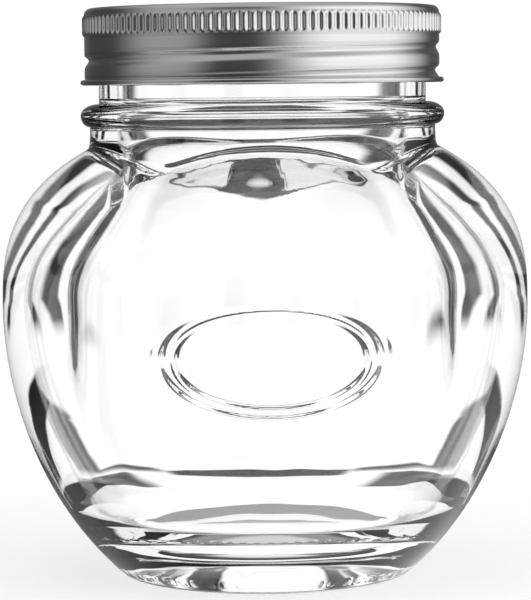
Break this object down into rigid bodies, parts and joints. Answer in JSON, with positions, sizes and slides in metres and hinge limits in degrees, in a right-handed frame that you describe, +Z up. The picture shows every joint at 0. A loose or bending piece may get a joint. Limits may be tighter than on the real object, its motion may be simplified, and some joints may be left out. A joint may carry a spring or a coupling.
{
  "type": "jam pot",
  "caption": "Lobed fruit-shaped jam pot in clear glass with a thick base and beaded neck, closed by a knurled metal screw band over a flat sealing disc that unscrew and lift off.",
  "frame": {"origin": "on the jar's axis, in the plane of the foot ring that it stands on", "axes": "+Z up along the jar's axis; -Y towards the front lobe; +X to the right as seen from the front"},
  "size_m": [0.0956, 0.0936, 0.1044],
  "materials": {
    "glass": "clear pressed glass",
    "band_tinplate": "satin tinplate",
    "disc_tinplate": "satin tinplate",
    "sealing_compound": "matte moulded compound"
  },
  "bodies": {
    "jar": {"glass_jar": "glass"},
    "lid_disc": {"sealing_disc": "disc_tinplate", "sealing_gasket": "sealing_compound"},
    "band": {"screw_band": "band_tinplate"}
  },
  "joints": [
    {"name": "lid_lift", "type": "slide", "parent": "jar", "child": "lid_disc", "axis": [0, 0, 1], "range_m": [0, 0.01692]},
    {"name": "band_turn", "type": "hinge", "parent": "lid_disc", "child": "band", "pos_m": [0, 0, 0.1044], "axis": [0, 0, 1], "range_deg": [0, 1440]}
  ],
  "couplings": [
    {"joint": "lid_lift", "follows": "band_turn", "m_per_rad": 0.00067322}
  ]
}
